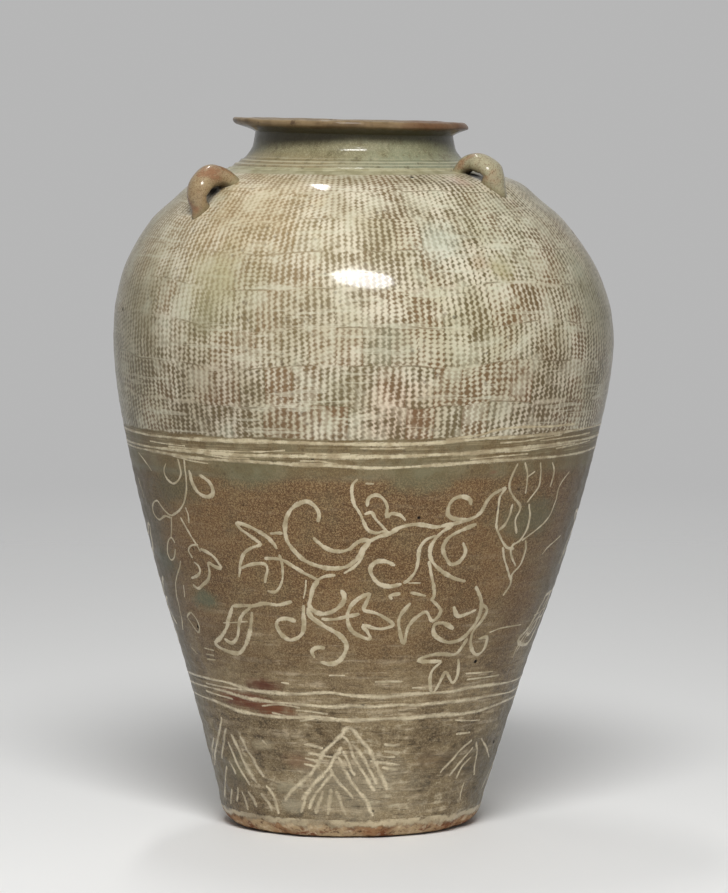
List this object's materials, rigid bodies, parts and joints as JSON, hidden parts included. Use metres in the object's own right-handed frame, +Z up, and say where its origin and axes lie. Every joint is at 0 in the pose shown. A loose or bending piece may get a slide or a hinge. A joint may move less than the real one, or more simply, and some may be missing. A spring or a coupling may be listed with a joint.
{
  "type": "storage jar",
  "caption": "Tall thrown stoneware storage jar with a wide shoulder, short neck, turned-out lip and coil cord loops; slip-stamped and glazed, it stands on a bare rounded foot",
  "frame": {"origin": "on the ground, under the middle of the belly", "axes": "+Z up the jar, -Y towards the side seen in the picture, +X to that view's right"},
  "size_m": [0.2712, 0.2712, 0.383],
  "materials": {
    "bare_clay": "bare fired stoneware, reddish brown, matt and gritty",
    "brown_glaze": "clear grey-green glaze over brown-grey clay with incised white slip lines",
    "stamped_slip": "clear grey-green glaze over stamped white slip",
    "green_glaze": "glossy grey-green glaze, thinner and browner at the lip",
    "loop_glaze": "glossy glaze, orange-brown where it runs thin"
  },
  "bodies": {
    "root": {"base_disc": "bare_clay", "lower_body": "brown_glaze", "upper_body": "stamped_slip", "neck_collar": "green_glaze", "front_left_loop": "loop_glaze", "front_right_loop": "loop_glaze", "back_left_loop": "loop_glaze", "back_right_loop": "loop_glaze"}
  },
  "joints": []
}
